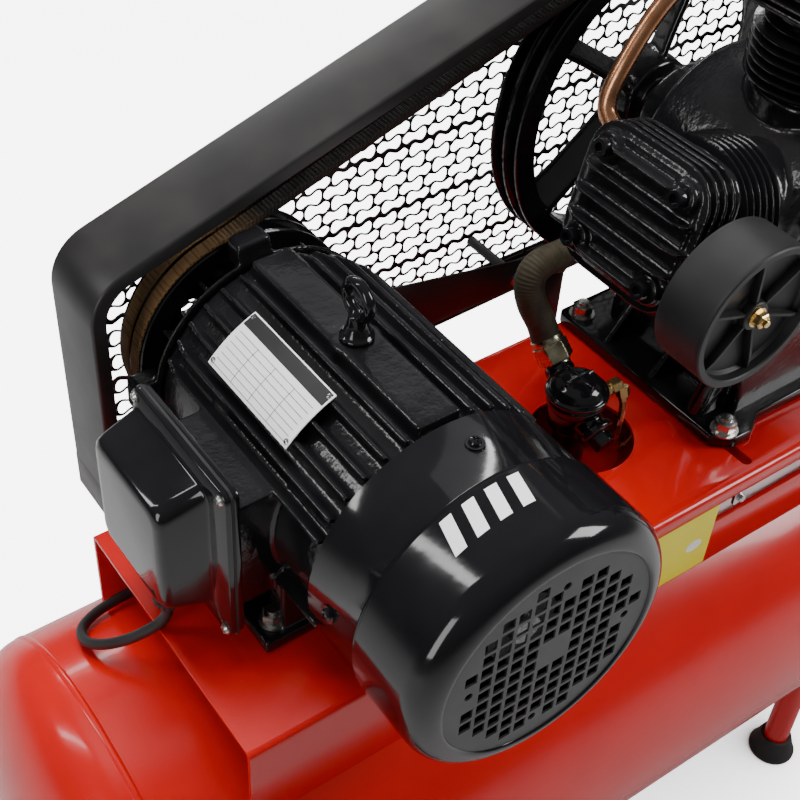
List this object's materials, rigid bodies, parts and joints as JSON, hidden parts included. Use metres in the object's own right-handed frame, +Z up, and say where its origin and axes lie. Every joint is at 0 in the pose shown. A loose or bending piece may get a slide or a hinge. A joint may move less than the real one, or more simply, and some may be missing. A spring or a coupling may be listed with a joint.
{
  "type": "wheelbarrow air compressor",
  "caption": "Belt-driven piston air compressor on a red horizontal receiver with wheels, rest legs and a push handle; electric motor and W-type pump on a saddle platform.",
  "frame": {"origin": "on the ground, under the middle of the bounding box", "axes": "+X along the receiver from the motor end to the handle, +Y towards the belt guard, +Z up"},
  "size_m": [1.233, 0.456, 1.007],
  "materials": {
    "tank_red": "glossy red enamel",
    "handle_black": "black powder coat",
    "guard_black": "satin black powder coat",
    "sheet_black": "gloss black enamel",
    "motor_iron": "gloss black paint on a cast surface",
    "pump_iron": "gloss black paint on cast iron",
    "valve_iron": "gloss black paint",
    "bright_steel": "machined",
    "plate_white": "printed aluminium",
    "plastic_black": "moulded",
    "filter_plastic": "moulded, matt",
    "black_rubber": "soft",
    "tyre_rubber": "solid tyre",
    "belt_canvas": "canvas-wrapped rubber",
    "hose_olive": "corrugated",
    "brass_fitting": "machined brass",
    "copper_pipe": "drawn copper",
    "red_plastic": "moulded"
  },
  "bodies": {
    "base": {"tank_shell": "tank_red", "platform": "tank_red", "axle_bracket": "tank_red", "leg_frame": "tank_red", "push_handle": "handle_black", "guard_band": "guard_black", "guard_mesh": "guard_black", "guard_bracket": "guard_black", "fan_cowl": "sheet_black", "terminal_base": "sheet_black", "terminal_lid": "sheet_black", "motor_frame": "motor_iron", "drive_shield": "motor_iron", "fan_shield": "motor_iron", "eye_bolt": "motor_iron", "crankcase": "pump_iron", "cylinder_left": "pump_iron", "cylinder_centre": "pump_iron", "cylinder_right": "pump_iron", "head_left": "pump_iron", "head_centre": "pump_iron", "head_right": "pump_iron", "check_valve": "valve_iron", "axle": "bright_steel", "stator": "bright_steel", "nameplate": "plate_white", "cable_gland": "plastic_black", "pressure_switch": "plastic_black", "pressure_gauge": "plastic_black", "air_filter_left": "filter_plastic", "air_filter_centre": "filter_plastic", "air_filter_right": "filter_plastic", "foot_left": "black_rubber", "foot_right": "black_rubber", "handle_grip": "black_rubber", "motor_lead": "black_rubber", "belt_front": "belt_canvas", "belt_rear": "belt_canvas", "discharge_hose": "hose_olive", "manifold": "brass_fitting", "drain_valve": "brass_fitting", "unloader_tube": "copper_pipe"},
    "wheel_left": {"wheel_rim_left": "plastic_black", "tyre_left": "tyre_rubber"},
    "wheel_right": {"wheel_rim_right": "plastic_black", "tyre_right": "tyre_rubber"},
    "crank": {"crankshaft": "bright_steel", "flywheel": "pump_iron"},
    "motor_rotor": {"rotor": "bright_steel", "cooling_fan": "plastic_black", "motor_pulley": "pump_iron"},
    "piston_left_body": {"piston_left": "bright_steel"},
    "piston_centre_body": {"piston_centre": "bright_steel"},
    "piston_right_body": {"piston_right": "bright_steel"},
    "lever": {"outlet_lever": "red_plastic"},
    "drain": {"drain_tap": "brass_fitting"},
    "regulator": {"regulator_knob": "plastic_black"},
    "knob": {"switch_knob": "red_plastic"},
    "ring": {"safety_ring": "bright_steel"},
    "needle": {"gauge_needle": "red_plastic"}
  },
  "joints": [
    {"name": "flywheel_spin", "type": "hinge", "parent": "base", "child": "crank", "pos_m": [0.1585, 0.002, 0.763], "axis": [0, 1, 0], "continuous": true},
    {"name": "motor_spin", "type": "hinge", "parent": "base", "child": "motor_rotor", "pos_m": [-0.2935, 0.002, 0.682], "axis": [0, 1, 0], "continuous": true},
    {"name": "wheel_left_spin", "type": "hinge", "parent": "base", "child": "wheel_left", "pos_m": [-0.3915, 0.192, 0.1], "axis": [0, 1, 0], "continuous": true},
    {"name": "wheel_right_spin", "type": "hinge", "parent": "base", "child": "wheel_right", "pos_m": [-0.3915, -0.188, 0.1], "axis": [0, 1, 0], "continuous": true},
    {"name": "piston_left_stroke", "type": "slide", "parent": "base", "child": "piston_left_body", "axis": [-0.9703, 0, 0.2419], "range_m": [-0.02846, 0.02154]},
    {"name": "piston_centre_stroke", "type": "slide", "parent": "base", "child": "piston_centre_body", "axis": [0, 0, 1], "range_m": [-0.05, 0]},
    {"name": "piston_right_stroke", "type": "slide", "parent": "base", "child": "piston_right_body", "axis": [0.9703, 0, 0.2419], "range_m": [-0.02846, 0.02154]},
    {"name": "outlet_lever_turn", "type": "hinge", "parent": "base", "child": "lever", "pos_m": [0.3925, 0.036, 0.574], "axis": [0, 0, 1], "range_deg": [0, 90]},
    {"name": "drain_tap_turn", "type": "hinge", "parent": "base", "child": "drain", "pos_m": [-0.0315, 0.002, 0.09], "axis": [0, 0, 1], "range_deg": [0, 90]},
    {"name": "regulator_knob_turn", "type": "hinge", "parent": "base", "child": "regulator", "pos_m": [0.3485, -0.097, 0.552], "axis": [0, 1, 0], "range_deg": [-150, 150]},
    {"name": "switch_knob_pull", "type": "slide", "parent": "base", "child": "knob", "axis": [0, 0, 1], "range_m": [0, 0.006]},
    {"name": "safety_ring_pull", "type": "slide", "parent": "base", "child": "ring", "axis": [1, 0, 0], "range_m": [0, 0.004], "stiffness_N_per_m": 500},
    {"name": "gauge_needle_swing", "type": "hinge", "parent": "base", "child": "needle", "pos_m": [0.3995, -0.038, 0.552], "axis": [1, 0, 0], "range_deg": [-270, 0], "stiffness_Nm_per_rad": 0.0015}
  ],
  "couplings": [
    {"joint": "motor_spin", "follows": "flywheel_spin", "ratio": 1.68}
  ]
}
